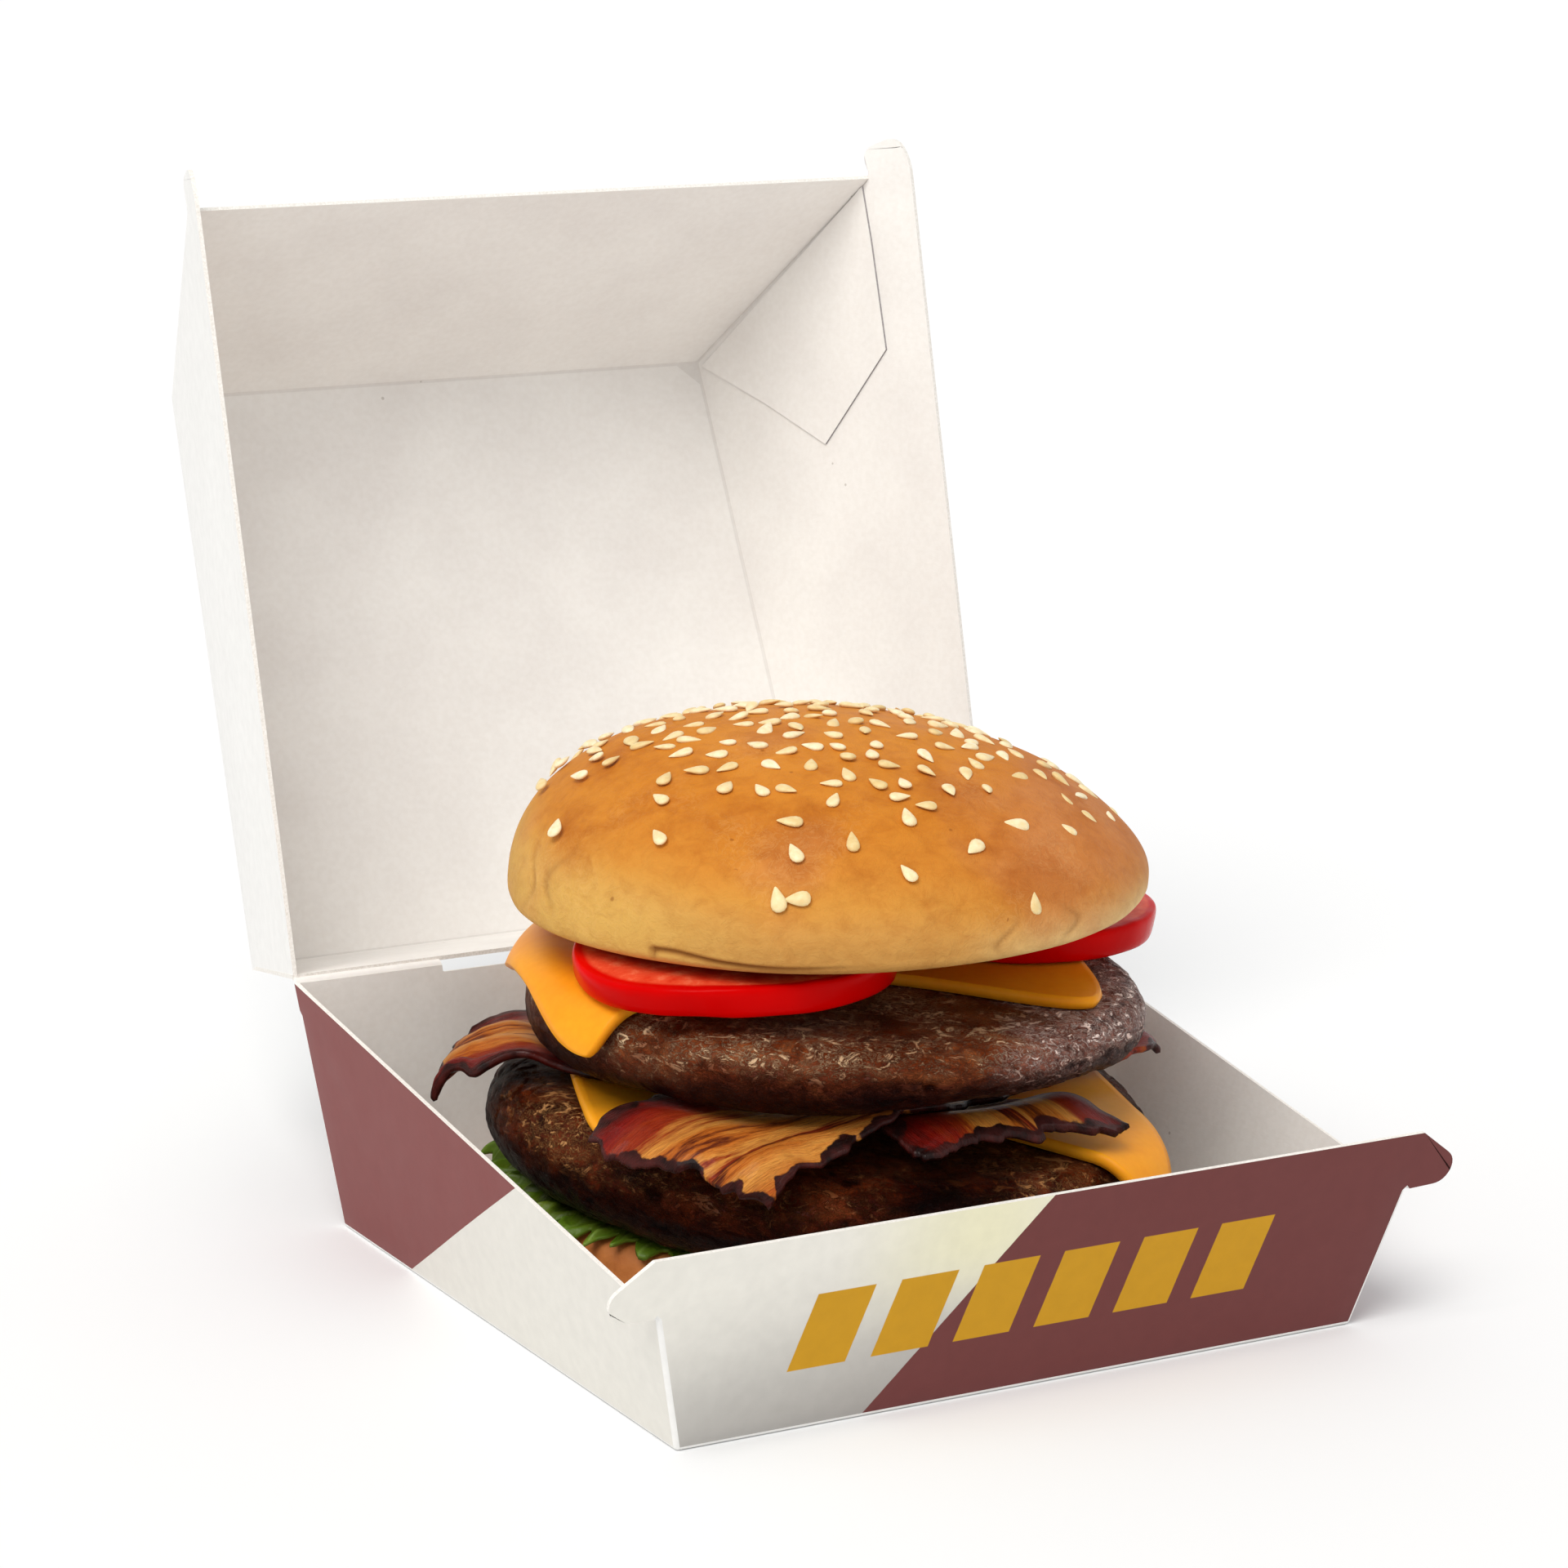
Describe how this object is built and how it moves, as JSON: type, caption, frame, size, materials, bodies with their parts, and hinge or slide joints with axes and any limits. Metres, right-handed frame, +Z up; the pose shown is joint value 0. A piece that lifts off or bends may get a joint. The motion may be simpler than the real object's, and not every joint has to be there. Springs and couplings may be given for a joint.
{
  "type": "burger in a clamshell box",
  "caption": "Double beef burger with bacon, cheese and tomato in a seeded bun, in an open folding card takeaway box with a hinged lid.",
  "frame": {"origin": "middle of the box's underside", "axes": "+Z up; +Y from the front wall to the lid's hinge fold; +X to the right seen from the front"},
  "size_m": [0.1574, 0.2102, 0.1718],
  "materials": {
    "card_base": "smooth white folding card with fields of dull red and mustard print",
    "card_lid": "smooth white folding card, uncoated inside",
    "bun_heel": "baked bread crust, matt",
    "bun_crown": "golden glazed bread crust, half matt",
    "lettuce": "fresh leaf, half gloss",
    "beef": "grilled minced beef, greasy gloss",
    "cheese": "soft melted cheese, half gloss",
    "bacon": "fried bacon, greasy gloss",
    "tomato": "wet tomato flesh and skin, gloss"
  },
  "bodies": {
    "base": {"box_base": "card_base", "bun_bottom": "bun_heel", "lettuce": "lettuce", "patty_lower": "beef", "cheese_lower": "cheese", "bacon_right": "bacon", "bacon_left": "bacon", "patty_upper": "beef", "cheese_upper": "cheese", "tomato_left": "tomato", "tomato_right": "tomato", "bun_top": "bun_crown"},
    "lid": {"box_lid": "card_lid"}
  },
  "joints": [
    {"name": "lid_hinge", "type": "hinge", "parent": "base", "child": "lid", "pos_m": [0, 0.0618, 0.0419], "axis": [1, 0, 0], "range_deg": [-64, 100]}
  ]
}
